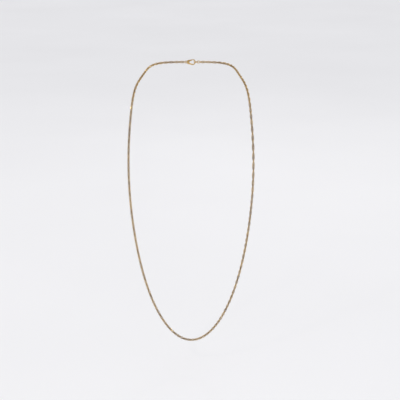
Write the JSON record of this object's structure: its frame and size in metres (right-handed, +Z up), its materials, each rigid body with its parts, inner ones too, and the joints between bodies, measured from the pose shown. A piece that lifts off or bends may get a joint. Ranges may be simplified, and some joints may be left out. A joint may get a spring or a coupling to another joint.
{
  "type": "chain necklace",
  "caption": "Long gold-coloured twisted curb chain necklace with a lobster clasp at the nape, hanging from the neck in a narrow open U.",
  "frame": {"origin": "the nape of the neck, where the middle of the closed clasp rests against the skin", "axes": "+Z up, -Y forward, towards the side the front loop hangs on, +X to the right of a viewer who faces the necklace"},
  "size_m": [0.1234, 0.0872, 0.2743],
  "materials": {
    "gold_chain": "polished pale gold plate",
    "gold_clasp": "polished cast gold plate",
    "gold_spring": "bright spring strip"
  },
  "bodies": {
    "neck_run": {"left_collar_links": "gold_chain", "left_shoulder_links": "gold_chain", "left_nape_links": "gold_chain", "right_collar_links": "gold_chain", "right_shoulder_links": "gold_chain", "right_nape_links": "gold_chain", "left_jump_ring": "gold_chain", "right_jump_ring": "gold_chain", "hook_ring": "gold_chain"},
    "slice_01": {"left_strand_01": "gold_chain", "right_strand_01": "gold_chain"},
    "slice_02": {"left_strand_02": "gold_chain", "right_strand_02": "gold_chain"},
    "slice_03": {"left_strand_03": "gold_chain", "right_strand_03": "gold_chain"},
    "slice_04": {"left_strand_04": "gold_chain", "right_strand_04": "gold_chain"},
    "slice_05": {"left_strand_05": "gold_chain", "right_strand_05": "gold_chain"},
    "slice_06": {"left_strand_06": "gold_chain", "right_strand_06": "gold_chain"},
    "slice_07": {"left_strand_07": "gold_chain", "right_strand_07": "gold_chain"},
    "slice_08": {"left_strand_08": "gold_chain", "right_strand_08": "gold_chain"},
    "slice_09": {"left_strand_09": "gold_chain", "right_strand_09": "gold_chain"},
    "slice_10": {"left_strand_10": "gold_chain", "right_strand_10": "gold_chain"},
    "slice_11": {"left_strand_11": "gold_chain", "right_strand_11": "gold_chain"},
    "bottom": {"bottom_links": "gold_chain"},
    "clasp": {"clasp_body": "gold_clasp", "clasp_pin": "gold_clasp", "clasp_spring": "gold_spring"},
    "lever": {"clasp_lever": "gold_clasp"}
  },
  "joints": [
    {"name": "chain_bend_01", "type": "hinge", "parent": "neck_run", "child": "slice_01", "pos_m": [0, -0.082, -0.0493], "axis": [1, 0, 0], "range_deg": [-15, 15]},
    {"name": "chain_bend_02", "type": "hinge", "parent": "slice_01", "child": "slice_02", "pos_m": [0, -0.082, -0.06941], "axis": [1, 0, 0], "range_deg": [-15, 15]},
    {"name": "chain_bend_03", "type": "hinge", "parent": "slice_02", "child": "slice_03", "pos_m": [0, -0.082, -0.08956], "axis": [1, 0, 0], "range_deg": [-15, 15]},
    {"name": "chain_bend_04", "type": "hinge", "parent": "slice_03", "child": "slice_04", "pos_m": [0, -0.082, -0.10972], "axis": [1, 0, 0], "range_deg": [-15, 15]},
    {"name": "chain_bend_05", "type": "hinge", "parent": "slice_04", "child": "slice_05", "pos_m": [0, -0.082, -0.12983], "axis": [1, 0, 0], "range_deg": [-15, 15]},
    {"name": "chain_bend_06", "type": "hinge", "parent": "slice_05", "child": "slice_06", "pos_m": [0, -0.082, -0.14988], "axis": [1, 0, 0], "range_deg": [-15, 15]},
    {"name": "chain_bend_07", "type": "hinge", "parent": "slice_06", "child": "slice_07", "pos_m": [0, -0.082, -0.16983], "axis": [1, 0, 0], "range_deg": [-15, 15]},
    {"name": "chain_bend_08", "type": "hinge", "parent": "slice_07", "child": "slice_08", "pos_m": [0, -0.082, -0.18962], "axis": [1, 0, 0], "range_deg": [-15, 15]},
    {"name": "chain_bend_09", "type": "hinge", "parent": "slice_08", "child": "slice_09", "pos_m": [0, -0.082, -0.20915], "axis": [1, 0, 0], "range_deg": [-15, 15]},
    {"name": "chain_bend_10", "type": "hinge", "parent": "slice_09", "child": "slice_10", "pos_m": [0, -0.082, -0.22822], "axis": [1, 0, 0], "range_deg": [-15, 15]},
    {"name": "chain_bend_11", "type": "hinge", "parent": "slice_10", "child": "slice_11", "pos_m": [0, -0.082, -0.24637], "axis": [1, 0, 0], "range_deg": [-15, 15]},
    {"name": "chain_bend_12", "type": "hinge", "parent": "slice_11", "child": "bottom", "pos_m": [0, -0.082, -0.26226], "axis": [1, 0, 0], "range_deg": [-15, 15]},
    {"name": "clasp_roll", "type": "hinge", "parent": "neck_run", "child": "clasp", "pos_m": [0, 0.0013, 0], "axis": [1, 0, 0], "range_deg": [-15, 15]},
    {"name": "lever_open", "type": "hinge", "parent": "clasp", "child": "lever", "pos_m": [-0.00288, 0.0013, 0.0009], "axis": [0, 1, 0], "range_deg": [0, 25], "stiffness_Nm_per_rad": 0.002, "springref_deg": -20.05}
  ]
}
